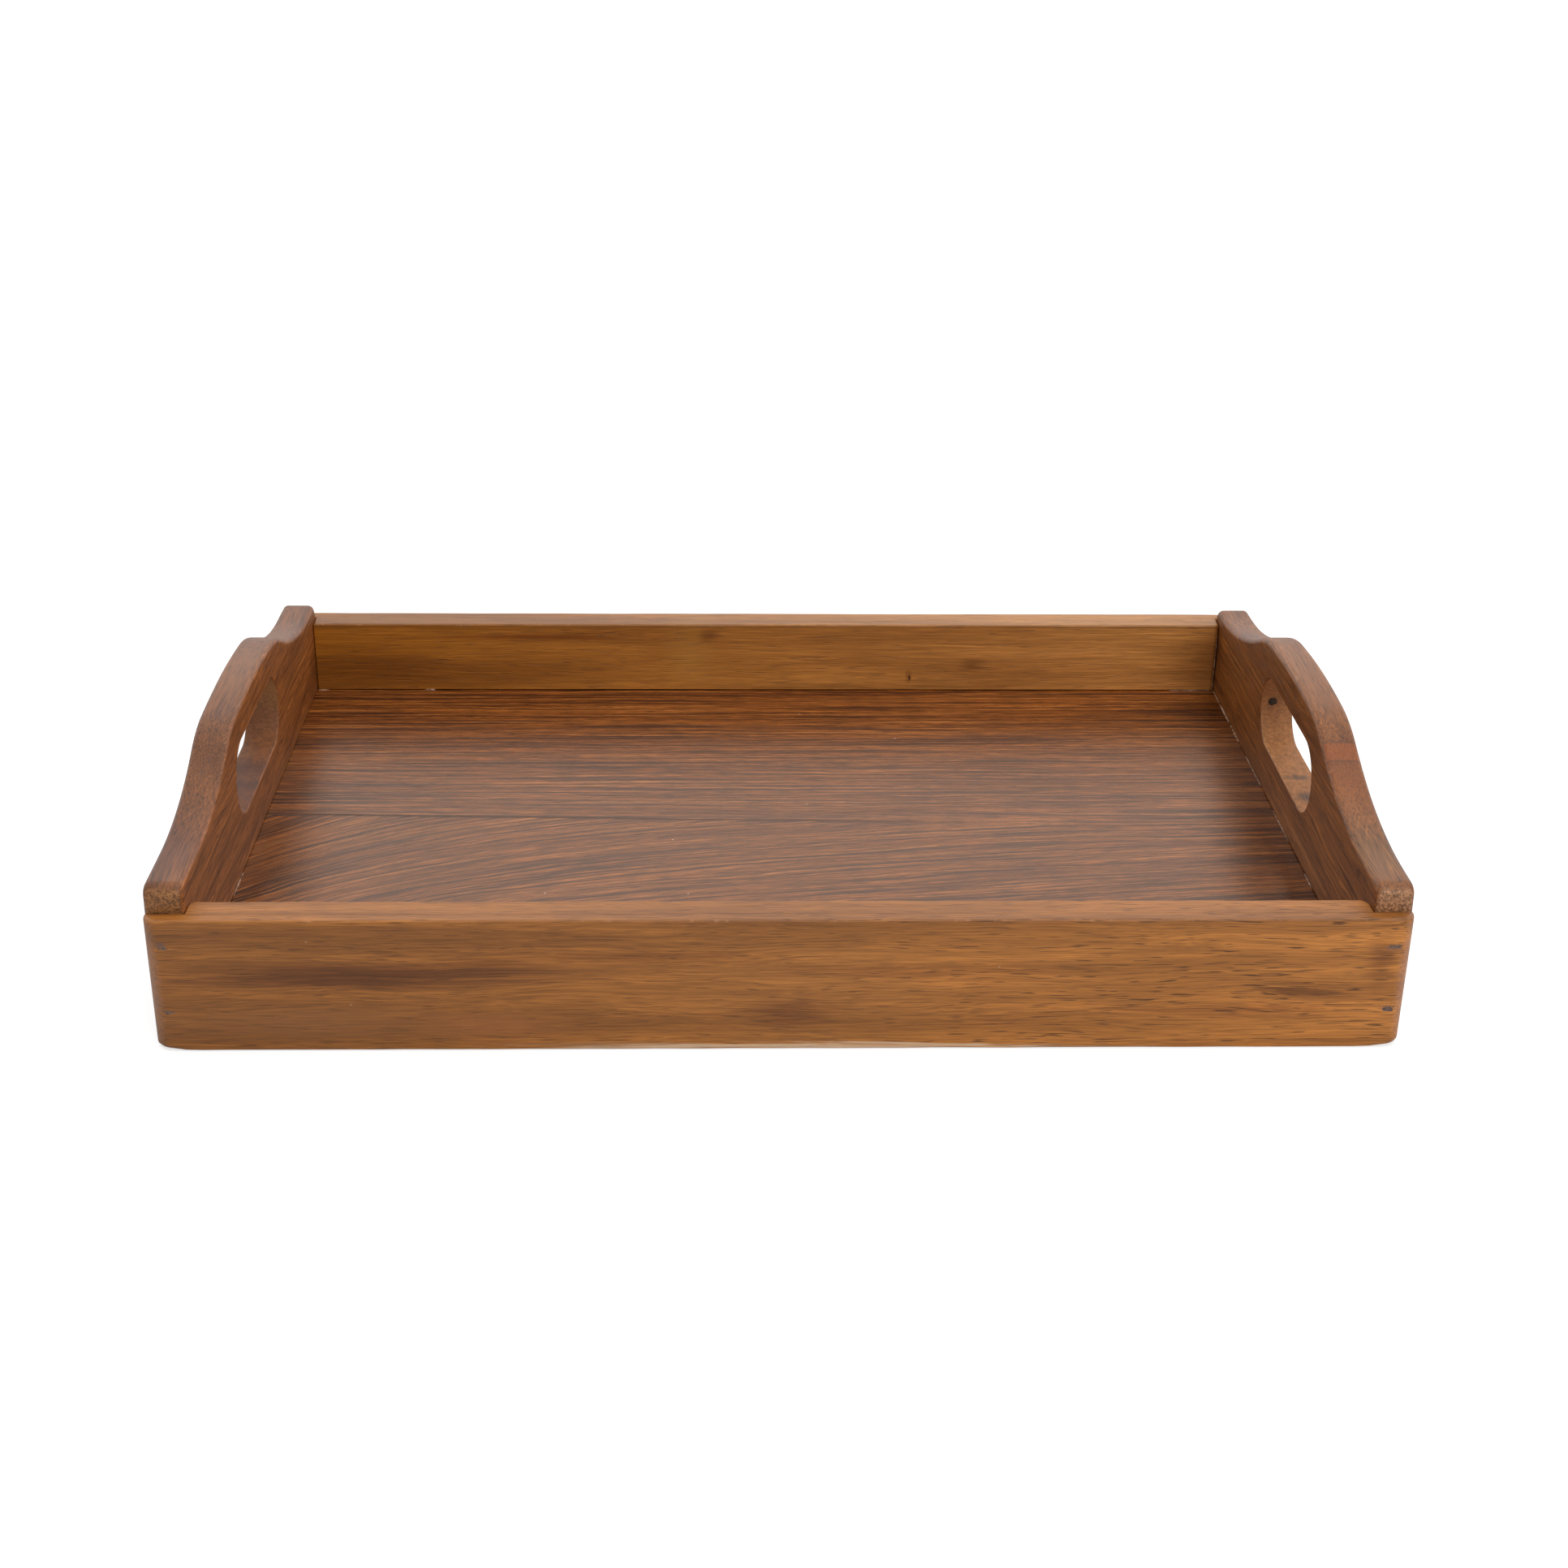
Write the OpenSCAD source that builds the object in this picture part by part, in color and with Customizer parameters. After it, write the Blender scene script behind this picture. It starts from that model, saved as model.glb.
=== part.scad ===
// Wooden serving tray: two rails and two handle boards round a laminated floor.
// Millimetres. +X runs from handle to handle, +Y to the back and +Z up.
// The origin is on the surface that the tray stands on, under its middle.

/* [Tray] */
// Overall length, from the outside of one handle board to the other
tray_w = 450; // [360:5:600]
// Overall depth, from the outside of the front rail to the outside of the back rail
tray_d = 300; // [240:5:400]

/* [Rails] */
// Height of the front and back rails
rail_h = 53; // [44:1:66]
// Thickness of the rails
rail_t = 15; // [12:0.5:20]
// Thickness of rail that is left outside each rabbet
cheek_t = 6; // [5:0.5:8]
// Radius of the rails' upright outside corners
corner_r = 5; // [1:0.5:6]
// Radius of the rails' upright inside corners, next to the handle boards
shoulder_r = 5; // [1:0.5:6]
// Gap between a rail's shoulder and the handle board beside it
shoulder_gap = 0.3; // [0.1:0.1:1]

/* [Handle boards] */
// Thickness of the handle boards
board_t = 14; // [11:0.5:18]
// Height of the handle boards at their ends
board_end_h = 61; // [50:1:74]
// Height of the handle boards at the middle
board_mid_h = 82.5; // [78:0.5:100]
// Radius of the long flat crown over the hand hole
crown_r = 350; // [280:5:420]
// Angle between the middle of the crown and each end of it
crown_angle = 6.5; // [4:0.5:9]
// Radius of the brow at each end of the crown
brow_r = 60; // [40:5:80]
// Radius of the hollow that sweeps down to each end
sweep_r = 150; // [100:5:190]
// Radius of the top corner of each end
end_r = 3; // [1:0.5:5]

/* [Hand holes] */
// Length of a hand hole, round ends included
hole_l = 90; // [75:1:120]
// Height of a hand hole
hole_h = 30; // [24:1:34]
// Height of the middle of a hand hole above the table
hole_z = 53.5; // [50:0.5:60]

/* [Floor] */
// Height of the floor's top face above the table
floor_z = 20; // [12:1:26]
// Thickness of the floor's core
core_t = 4; // [3:0.5:6]
// Thickness of the decorative sheet on top of the core
face_t = 0.5; // [0.3:0.1:1]
// Thickness of the backing sheet under the core
backing_t = 0.5; // [0.3:0.1:1]
// Depth of the groove that holds the floor
groove_depth = 5; // [3:0.5:6]
// Clearance between the floor's edge and the bottom of the groove
edge_gap = 0.5; // [0.3:0.1:1]
// Clearance over the floor in its groove
top_gap = 0.3; // [0.1:0.1:0.6]

/* [Nails] */
// Length of a nail, head included
nail_l = 30; // [24:1:38]
// Radius of a nail's shank
nail_r = 0.7; // [0.5:0.1:1]
// Radius of a nail's head
head_r = 1.2; // [1:0.1:1.4]
// Thickness of a nail's head
head_t = 0.8; // [0.5:0.1:1]
// Length of a nail's point
point_l = 2; // [1:0.5:3]
// Depth of the filler over a nail's head
filler_t = 1; // [0.5:0.1:1.5]
// Wood between a nail and the groove in the handle board
nail_wall = 2.5; // [1.5:0.5:3]
// Height of the lower nail above the table
nail_low_z = 16; // [10:1:20]
// Height of the upper nail above the table
nail_high_z = 42; // [30:1:48]

/* [Hidden] */
$fn = 120;
// How far a cutter runs past the face that it cuts
cut = 1;
// How far the wedges that trim the arcs reach past the arcs
reach = 1.2;

// Where the inside faces of the boards and rails stand, measured from the middle
board_in = tray_w / 2 - board_t;
rail_in = tray_d / 2 - rail_t;
// Half the length of a handle board, whose ends stand against the cheeks
board_end = tray_d / 2 - cheek_t;

// The floor's three layers, and the groove that they share
floor_t = backing_t + core_t + face_t;
groove_z = floor_z - floor_t;
groove_h = floor_t + top_gap;
floor_w = 2 * (board_in + groove_depth - edge_gap);
floor_d = 2 * (rail_in + groove_depth - edge_gap);

// Nails stand in the wood between the groove and the outside of the handle board
nail_inset = board_t - groove_depth - nail_wall;
nail_x = tray_w / 2 - nail_inset;
outside_r = min(corner_r, nail_inset - head_r, cheek_t);

// The handle board's top edge: crown, brow and sweep, each tangent to the next
crown_z = board_mid_h - crown_r;
brow_y = (crown_r - brow_r) * sin(crown_angle);
brow_z = crown_z + (crown_r - brow_r) * cos(crown_angle);
sweep_z = board_end_h + sweep_r;
sweep_angle = acos((sweep_z - brow_z) / (sweep_r + brow_r));
sweep_y = brow_y + (sweep_r + brow_r) * sin(sweep_angle);
crown_end = on_arc(0, crown_z, crown_r, crown_angle);
brow_end = on_arc(brow_y, brow_z, brow_r, sweep_angle);
// Height of the top edge where the board ends, on the sweep if the board is short
end_z = board_end >= sweep_y ? board_end_h
      : sweep_z - sqrt(pow(sweep_r, 2) - pow(sweep_y - board_end, 2));

// A point on a circle, at an angle from straight up
function on_arc(y, z, r, angle) = [y + r * sin(angle), z + r * cos(angle)];

// Puts a piece that is drawn at the back right corner at any corner
module at_corner(right, back) {
  mirror([right ? 0 : 1, 0, 0]) mirror([0, back ? 0 : 1, 0]) children();
}

// Both sides of something that is drawn on the plus side of the first axis
module both_sides() {
  children();
  mirror([1, 0, 0]) children();
}

// What a round-over takes off an outside corner at the origin, whose sides run to -x and -y
module corner_waste(r) {
  difference() {
    translate([-r, -r]) square(r + cut);
    translate([-r, -r]) circle(r = r);
  }
}

// A rail seen from above, at the back of the tray
module rail_outline() {
  difference() {
    translate([-tray_w / 2, rail_in]) square([tray_w, rail_t]);
    both_sides() {
      translate([tray_w / 2, tray_d / 2]) corner_waste(outside_r);
      translate([board_in - shoulder_gap, rail_in - cut]) square([board_t + shoulder_gap + cut,
                                                                  rail_t - cheek_t + cut]);
      translate([board_in - shoulder_gap, rail_in]) mirror([0, 1]) corner_waste(shoulder_r);
    }
  }
}

// The back rail with its groove and its nail holes
module rail() {
  difference() {
    linear_extrude(rail_h) rail_outline();
    translate([-tray_w / 2 - cut, rail_in - cut, groove_z])
      cube([tray_w + 2 * cut, groove_depth + cut, groove_h]);
    both_sides() {
      nail_pair();
      filler_pair(cut);
    }
  }
}

// The part of a disc between an arc and its chord, with a little of the disc's edge to spare
module arc_segment(y, z, r, from, to) {
  intersection() {
    translate([y, z]) circle(r = r);
    polygon([on_arc(y, z, r, from), on_arc(y, z, r * reach, from),
             on_arc(y, z, r * reach, to), on_arc(y, z, r, to)]);
  }
}

// A handle board seen from the side, its length along the first axis and its height along the second
module board_outline() {
  intersection() {
    translate([-board_end, 0]) square([2 * board_end, board_mid_h + cut]);
    difference() {
      union() {
        translate([-board_end, 0]) square([2 * board_end, board_end_h]);
        both_sides() {
          polygon([[0, 0], [sweep_y, 0], [sweep_y, board_end_h], brow_end, crown_end,
                   [0, crown_end[1]]]);
          arc_segment(brow_y, brow_z, brow_r, crown_angle, sweep_angle);
        }
        arc_segment(0, crown_z, crown_r, -crown_angle, crown_angle);
      }
      both_sides() {
        arc_segment(sweep_y, sweep_z, sweep_r, 180, 180 + sweep_angle);
        translate([board_end, end_z]) corner_waste(end_r);
      }
    }
  }
}

// The hand hole, a slot with full round ends
module hand_hole() {
  end_y = hole_l / 2 - hole_h / 2;
  translate([-end_y, hole_z - hole_h / 2]) square([2 * end_y, hole_h]);
  both_sides() translate([end_y, hole_z]) circle(r = hole_h / 2);
}

// The right handle board with its hand hole, groove and nail holes
module handle_board() {
  difference() {
    translate([board_in, 0, 0]) rotate([90, 0, 90]) linear_extrude(board_t) board_outline();
    translate([board_in - cut, 0, 0]) rotate([90, 0, 90]) linear_extrude(board_t + 2 * cut) hand_hole();
    translate([board_in - cut, -board_end - cut, groove_z])
      cube([groove_depth + cut, 2 * (board_end + cut), groove_h]);
    nail_pair();
    mirror([0, 1, 0]) nail_pair();
  }
}

// One layer of the floor, from a height up
module floor_layer(z, t) {
  translate([-floor_w / 2, -floor_d / 2, z]) cube([floor_w, floor_d, t]);
}

// A nail with its head at the origin, driven along +Z
module nail() {
  cylinder(r = head_r, h = head_t);
  cylinder(r = nail_r, h = nail_l - point_l);
  translate([0, 0, nail_l - point_l]) cylinder(r1 = nail_r, r2 = nail_r / 4, h = point_l);
}

// The two places at the back right corner where a nail goes in, facing into the wood
module nail_places() {
  for (z = [nail_low_z, nail_high_z])
    translate([nail_x, tray_d / 2, z]) rotate([90, 0, 0]) children();
}

module nail_pair() {
  nail_places() translate([0, 0, filler_t]) nail();
}

// The filler over two nail heads; past is how far it runs out of the wood, when it is a cutter
module filler_pair(past = 0) {
  nail_places() translate([0, 0, -past]) cylinder(r = head_r, h = filler_t + past);
}

module front_rail() {
  color("#a06a3a") at_corner(true, false) rail();
}

module back_rail() {
  color("#8a5a24") rail();
}

module left_handle_board() {
  color("#7d4c30") at_corner(false, true) handle_board();
}

module right_handle_board() {
  color("#85512f") handle_board();
}

module floor_core() {
  color("#b08a62") floor_layer(groove_z + backing_t, core_t);
}

module floor_face() {
  color("#6f4029") floor_layer(groove_z + backing_t + core_t, face_t);
}

module floor_backing() {
  color("#7a5236") floor_layer(groove_z, backing_t);
}

module nails_at(right, back) {
  color("#b9bcc0") at_corner(right, back) nail_pair();
}

module filler_at(right, back) {
  color("#6d6266") at_corner(right, back) filler_pair();
}

module front_left_nails() { nails_at(false, false); }
module front_right_nails() { nails_at(true, false); }
module back_left_nails() { nails_at(false, true); }
module back_right_nails() { nails_at(true, true); }
module front_left_filler() { filler_at(false, false); }
module front_right_filler() { filler_at(true, false); }
module back_left_filler() { filler_at(false, true); }
module back_right_filler() { filler_at(true, true); }

front_rail();
back_rail();
left_handle_board();
right_handle_board();
floor_core();
floor_face();
floor_backing();
front_left_nails();
front_right_nails();
back_left_nails();
back_right_nails();
front_left_filler();
front_right_filler();
back_left_filler();
back_right_filler();
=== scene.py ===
# %% [markdown]
# # A wooden serving tray
# Two rails and two handle boards stand round a thin laminated floor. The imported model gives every
# piece its place and size, and this lesson adds what a solid model leaves out: eased edges, the
# slightly different top of each handle board, grain, wear, and the small marks that workshop glue and
# filler leave behind. All lengths are in metres.

# %% Load the frame
import math

import bmesh
import bpy
from mathutils import Matrix, Vector, kdtree, noise


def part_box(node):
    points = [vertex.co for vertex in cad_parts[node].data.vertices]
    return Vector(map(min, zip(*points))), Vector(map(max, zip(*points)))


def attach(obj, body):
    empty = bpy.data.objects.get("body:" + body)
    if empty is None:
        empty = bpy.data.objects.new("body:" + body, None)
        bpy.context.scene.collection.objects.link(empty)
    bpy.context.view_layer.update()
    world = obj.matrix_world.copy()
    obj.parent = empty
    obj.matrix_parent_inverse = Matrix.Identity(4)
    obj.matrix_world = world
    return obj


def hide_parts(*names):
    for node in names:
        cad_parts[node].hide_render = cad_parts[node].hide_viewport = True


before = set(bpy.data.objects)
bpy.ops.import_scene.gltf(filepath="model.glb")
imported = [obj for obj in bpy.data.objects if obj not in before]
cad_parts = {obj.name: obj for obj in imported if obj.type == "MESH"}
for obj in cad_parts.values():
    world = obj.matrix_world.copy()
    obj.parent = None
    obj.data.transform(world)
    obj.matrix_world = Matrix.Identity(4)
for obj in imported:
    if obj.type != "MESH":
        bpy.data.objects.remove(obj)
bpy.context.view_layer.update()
scene = bpy.context.scene
MM = 0.001
print("nodes:", ", ".join(sorted(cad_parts)))

# %% [markdown]
# ## The camera
# The tray is seen from the front and from above, as by someone who is about to set it down. The lens
# is a normal one, so the two handle boards draw together towards the back as they do to the eye. The
# camera's axes are built from three angles, which is easier to reason about than a matrix typed in by
# hand.

# %% Place the camera
CAMERA_PLACE = Vector((-21.91, -852.76, 439.03)) * MM
CAMERA_PITCH = math.radians(25.338)
CAMERA_YAW = math.radians(1.740)
CAMERA_ROLL = math.radians(-0.736)
SENSOR_WIDTH = 36.0
LENS = 52.239


def camera_axes(pitch, yaw, roll):
    """Right, up and backward axes of a camera that looks along +Y, turned by yaw, pitch and roll."""
    ahead = Vector((math.sin(yaw) * math.cos(pitch), math.cos(yaw) * math.cos(pitch), -math.sin(pitch)))
    level = Vector((math.cos(yaw), -math.sin(yaw), 0))
    down = ahead.cross(level)
    right = math.cos(roll) * level + math.sin(roll) * down
    return right, right.cross(ahead), -ahead


camera = bpy.data.objects.new("camera", bpy.data.cameras.new("camera"))
scene.collection.objects.link(camera)
camera.data.lens = LENS
camera.data.sensor_width = SENSOR_WIDTH
camera.data.clip_start = 0.01
camera.matrix_world = Matrix.Translation(CAMERA_PLACE) @ Matrix(
    camera_axes(CAMERA_PITCH, CAMERA_YAW, CAMERA_ROLL)).transposed().to_4x4()
scene.camera = camera
scene.view_settings.view_transform = "Standard"
print("camera at", [round(c, 3) for c in camera.matrix_world.translation])

# %% [markdown]
# ## Wiring nodes
# A material is a small circuit. These few helpers add a node or two and hand back an output, so that
# a finish can be written as a list of steps. A plain number, colour or vector can stand wherever a
# link could.

# %% Make the wiring helpers


class Wiring:
    """Adds nodes to one tree and joins them up."""

    def __init__(self, tree):
        self.tree = tree

    def feed(self, socket, value):
        """Joins a link to a socket, or sets the socket's own value."""
        if isinstance(value, bpy.types.NodeSocket):
            self.tree.links.new(value, socket)
        elif value is not None:
            socket.default_value = value

    def node(self, kind, *values, **settings):
        """A node with its settings made and its first inputs fed in order."""
        made = self.tree.nodes.new(kind)
        for name, value in settings.items():
            setattr(made, name, value)
        for socket, value in zip(made.inputs, values):
            self.feed(socket, value)
        return made

    def maths(self, operation, *values):
        return self.node("ShaderNodeMath", *values, operation=operation).outputs[0]

    def about(self, value, swing, middle):
        """A value that swings about a middle, made from one that swings about a half."""
        return self.maths("MULTIPLY_ADD", self.maths("SUBTRACT", value, 0.5), swing, middle)

    def vector(self, operation, *values):
        made = self.node("ShaderNodeVectorMath", *values, operation=operation)
        return made.outputs["Value" if operation == "LENGTH" else "Vector"]

    def scale(self, vector, factor):
        """A vector or a colour times a factor."""
        made = self.node("ShaderNodeVectorMath", vector, operation="SCALE")
        self.feed(made.inputs["Scale"], factor)
        return made.outputs["Vector"]

    def split(self, vector):
        return self.node("ShaderNodeSeparateXYZ", vector).outputs

    def join(self, x, y, z):
        return self.node("ShaderNodeCombineXYZ", x, y, z).outputs[0]

    def remap(self, value, low, high, to_low=0.0, to_high=1.0):
        """A smooth step from one range to another."""
        made = self.node("ShaderNodeMapRange", value, low, high, to_low, to_high,
                         interpolation_type="SMOOTHSTEP")
        return made.outputs[0]

    def blend(self, factor, first, second, mode="MIX"):
        made = self.node("ShaderNodeMix", data_type="RGBA", blend_type=mode)
        self.feed(made.inputs[0], factor)
        self.feed(made.inputs[6], first)
        self.feed(made.inputs[7], second)
        return made.outputs[2]

    def noise(self, vector, scales, detail=2.0, roughness=0.5):
        """Noise whose blobs are one over the scales long on each axis."""
        scaled = self.vector("MULTIPLY", vector, scales)
        made = self.node("ShaderNodeTexNoise", scaled)
        made.inputs["Scale"].default_value = 1.0
        made.inputs["Detail"].default_value = detail
        made.inputs["Roughness"].default_value = roughness
        return made.outputs[0]

    def group(self, tree, **values):
        """A copy of a node group, with its named inputs fed."""
        made = self.node("ShaderNodeGroup", node_tree=tree)
        for name, value in values.items():
            self.feed(made.inputs[name.replace("_", " ")], value)
        return made.outputs


SOCKET_KINDS = {"value": "NodeSocketFloat", "vector": "NodeSocketVector", "colour": "NodeSocketColor"}


def start_group(name, inputs, outputs):
    """A new node group. Gives its wiring, its inputs by name, and its output node."""
    tree = bpy.data.node_groups.new(name, "ShaderNodeTree")
    for label, (kind, value) in inputs.items():
        socket = tree.interface.new_socket(label, in_out="INPUT", socket_type=SOCKET_KINDS[kind])
        if value is not None:
            socket.default_value = value
    for label, kind in outputs.items():
        tree.interface.new_socket(label, in_out="OUTPUT", socket_type=SOCKET_KINDS[kind])
    wiring = Wiring(tree)
    source = wiring.node("NodeGroupInput")
    sink = wiring.node("NodeGroupOutput")
    return wiring, source.outputs, sink.inputs


def linear(code):
    """A colour for a node, from its usual six-figure code."""
    parts = [int(code[k:k + 2], 16) / 255 for k in (0, 2, 4)]
    return [p / 12.92 if p <= 0.04045 else ((p + 0.055) / 1.055) ** 2.4 for p in parts] + [1.0]


def darker(colour, share):
    """A colour with its red, green and blue brought down to a share of themselves."""
    return [part * share for part in colour[:3]] + [1]


def per_mm(x, y, z):
    """Noise scales for blobs that are x, y and z millimetres long."""
    return (1 / (x * MM), 1 / (y * MM), 1 / (z * MM))


print("wiring helpers ready")

# %% [markdown]
# ## Timber
# The rails and boards are cut from a brown hardwood with soft colour bands, fine fibres and short
# dark pores. A picture of wood pasted on each face would not line up at the edges, so the grain is a
# solid pattern: noise that is long along the fibres and fine across them. One group makes it for
# the rails, the boards and the floor's hidden layers, and each material feeds in its own colours and
# seed. Its X axis runs along the fibres.

# %% Build the timber group
timber, source, sink = start_group(
    "Tray Timber",
    {"Vector": ("vector", None), "Seed": ("value", 0.0), "Band Width": ("value", 9.0),
     "Wander": ("value", 2.5), "Light": ("colour", linear("a8703f")), "Dark": ("colour", linear("6a4024")),
     "Streak Depth": ("value", 0.22), "Fibre Depth": ("value", 0.16), "Pore Depth": ("value", 0.5)},
    {"Colour": "colour", "Streaks": "value", "Height": "value"})
SEED_STEP = (0.371, 0.117, 0.059)
spot = timber.vector("ADD", source["Vector"], timber.scale(SEED_STEP, source["Seed"]))
sway = timber.vector("SUBTRACT", timber.join(
    0.5, timber.noise(spot, per_mm(95, 16, 16), 1.0),
    timber.noise(timber.vector("ADD", spot, (0.5, 0.5, 0.5)), per_mm(80, 14, 14), 1.0)), (0.5, 0.5, 0.5))
waved = timber.vector("ADD", spot, timber.scale(
    sway, timber.maths("MULTIPLY", source["Wander"], 2 * MM)))
BAND_LENGTH = 0.170
band_spot = timber.vector("MULTIPLY", waved, timber.join(
    1 / BAND_LENGTH, *[timber.maths("DIVIDE", 1 / MM, source["Band Width"])] * 2))
bands = timber.node("ShaderNodeTexNoise", band_spot).outputs[0]
bands.node.inputs["Scale"].default_value = 1.0
bands.node.inputs["Detail"].default_value = 3.0
streaks = timber.noise(waved, per_mm(100, 1.2, 1.2), 4.0, 0.65)
fibres = timber.noise(waved, per_mm(22, 0.5, 0.5), 2.0, 0.6)
pore_noise = timber.noise(waved, per_mm(9.0, 0.42, 0.42), 0.0)
pores = timber.maths("MULTIPLY", timber.remap(pore_noise, 0.62, 0.74), timber.remap(streaks, 0.36, 0.58))
tone = timber.blend(timber.remap(bands, 0.34, 0.66), source["Dark"], source["Light"])
streak_tone = timber.about(streaks, timber.maths("MULTIPLY", source["Streak Depth"], 4.0), 1.0)
fibre_tone = timber.about(fibres, timber.maths("MULTIPLY", source["Fibre Depth"], 4.0), 1.0)
pore_tone = timber.maths("SUBTRACT", 1.0, timber.maths("MULTIPLY", pores, source["Pore Depth"]))
shade = timber.maths("MULTIPLY", timber.maths("MULTIPLY", streak_tone, fibre_tone), pore_tone)
timber.feed(sink["Colour"], timber.scale(tone, shade))
timber.feed(sink["Streaks"], streaks)
timber.feed(sink["Height"], timber.maths("SUBTRACT", timber.maths(
    "MULTIPLY_ADD", fibres, 0.5, timber.maths("MULTIPLY", streaks, 0.5)), pores))
TIMBER = timber.tree
print("group:", TIMBER.name, len(TIMBER.nodes), "nodes")

# %% [markdown]
# ## Patches
# Darker figure, stain, sapwood, smudges and a few patches of painted shade and highlight all come down
# to a soft oval somewhere on a board, whose rim frays along the grain. The group measures how far a
# point is from the oval's middle, in half-sizes, and lets the grain push that distance about.

# %% Build the patch group
patch, source, sink = start_group(
    "Grain Patch",
    {"Vector": ("vector", None), "Middle": ("vector", (0, 0, 0)), "Half Size": ("vector", (1, 1, 1)),
     "Grain": ("value", 0.5), "Fray": ("value", 1.0), "Soft": ("value", 0.8)},
    {"Mask": "value"})
away = patch.vector("LENGTH", patch.vector("DIVIDE", patch.vector(
    "SUBTRACT", source["Vector"], source["Middle"]), source["Half Size"]))
frayed = patch.about(source["Grain"], source["Fray"], away)
fade = patch.node("ShaderNodeMapRange", frayed, None, 1.0, 1.0, 0.0, interpolation_type="SMOOTHSTEP")
patch.feed(fade.inputs["From Min"], patch.maths("SUBTRACT", 1.0, source["Soft"]))
patch.feed(sink["Mask"], fade.outputs[0])
PATCH = patch.tree
print("group:", PATCH.name, len(PATCH.nodes), "nodes")

# %% [markdown]
# ## Rubbed edges
# Sanding and handling thin the stain along every edge, so it shows paler there, in broken lines. Each
# wooden mesh carries a value named arris, which is 1 in the middle of an edge's rounding and falls to
# 0 on either side of it. The group breaks that value up with noise.

# %% Build the rubbed edge group
rubbed, source, sink = start_group(
    "Rubbed Arris",
    {"Vector": ("vector", None), "Arris": ("value", 0.0), "Amount": ("value", 0.5)},
    {"Mask": "value"})
broken = rubbed.noise(source["Vector"], per_mm(7, 7, 7), 4.0, 0.7)
worn = rubbed.remap(rubbed.about(source["Amount"], 0.6, broken), 0.45, 0.62)
rubbed.feed(sink["Mask"], rubbed.maths("MULTIPLY", worn, rubbed.remap(source["Arris"], 0.15, 0.8)))
RUBBED = rubbed.tree
print("group:", RUBBED.name, len(RUBBED.nodes), "nodes")

# %% [markdown]
# ## Dust
# A few pale specks of sanding dust lie about. Each cell of a Voronoi pattern has one point, and only
# the cells whose random colour has little enough red keep theirs.

# %% Build the dust group
dust, source, sink = start_group(
    "Sanding Dust", {"Vector": ("vector", None), "Share": ("value", 0.05), "Size": ("value", 0.07)},
    {"Mask": "value"})
cells = dust.node("ShaderNodeTexVoronoi", dust.vector("MULTIPLY", source["Vector"], per_mm(7, 4, 4)))
cells.inputs["Scale"].default_value = 1.0
kept = dust.maths("GREATER_THAN", source["Share"], dust.split(cells.outputs["Color"])[0])
speck = dust.maths("GREATER_THAN", source["Size"], cells.outputs["Distance"])
dust.feed(sink["Mask"], dust.maths("MULTIPLY", kept, speck))
DUST = dust.tree
print("group:", DUST.name, len(DUST.nodes), "nodes")

# %% [markdown]
# ## Starting a material
# Every wooden piece has a thin satin finish over the grain. The shader stays in the material, and the
# groups only supply colours, masks and a height for the bump.

# %% Make the material helpers


def start_material(name, roughness):
    """A material with its shader. Gives the material, its wiring, its shader and the piece's place."""
    material = bpy.data.materials.new(name)
    material.use_nodes = True
    wiring = Wiring(material.node_tree)
    shader = material.node_tree.nodes["Principled BSDF"]
    shader.inputs["Roughness"].default_value = roughness
    shader.inputs["Specular IOR Level"].default_value = 0.4
    place = wiring.node("ShaderNodeTexCoord").outputs["Object"]
    return material, wiring, shader, place


def add_bump(wiring, shader, height, distance, strength):
    """Raises the surface by a height, over a distance in metres."""
    bump = wiring.node("ShaderNodeBump")
    bump.inputs["Strength"].default_value = strength
    bump.inputs["Distance"].default_value = distance
    wiring.feed(bump.inputs["Height"], height)
    wiring.feed(shader.inputs["Normal"], bump.outputs[0])


print("material helpers ready")

# %% [markdown]
# ## Slabs with eased edges
# Rails and boards are both a flat outline with a thickness. A bevel modifier would round every edge
# by the same amount, but hand-sanded edges vary, and the handles are rounded more than the rails. So
# each slab is built as rings of points that follow the outline: one face, round the edge, down the
# wall, round the other edge and over the second face. The radius can then differ at every point.

# %% Make the slab builder
ROUND_STEPS = 5


def ramp(value, start, length):
    """Nought up to the start, one from a length beyond it, and a straight slope between."""
    return min(1.0, max(0.0, (value - start) / length))


def split_long(points, step):
    """A closed outline whose straight runs are cut into lengths no longer than step."""
    dense = []
    for here, after in zip(points, points[1:] + points[:1]):
        cuts = max(1, math.ceil((after - here).length / step - 1e-6))
        dense += [here.lerp(after, k / cuts) for k in range(cuts)]
    return dense


def ways_in(outline):
    """For each point of an outline that runs anticlockwise, the way into the wood, mitred at corners."""
    ways = []
    for before, here, after in zip(outline[-1:] + outline[:-1], outline, outline[1:] + outline[:1]):
        first = (here - before).normalized()
        second = (after - here).normalized()
        into = Vector((-first.y - second.y, first.x + second.x))
        ways.append(into / (1 + first.dot(second)))
    return ways


def edge_rings(outline, depth, radius, towards):
    """Rings that turn from a face at a depth into the wall. Towards is +1 when the wood is deeper.

    A radius below nought eases the edge of a hole, whose wood lies outside its outline.
    """
    rings = []
    ways = ways_in(outline)
    for k in range(ROUND_STEPS + 1):
        turn = math.pi / 2 * k / ROUND_STEPS
        ring = []
        for point, way in zip(outline, ways):
            size = radius(point)
            flat = point + way * size * (1 - math.sin(turn))
            sunk = depth + towards * abs(size) * (1 - math.cos(turn))
            ring.append((flat, sunk, math.sin(2 * turn)))
        rings.append(ring)
    return rings


def slab_rings(outline, low, high, low_radius, high_radius):
    """Rings from the low face, up the wall, to the high face."""
    return (edge_rings(outline, low, low_radius, 1)
            + edge_rings(outline, high, high_radius, -1)[::-1])


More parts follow.
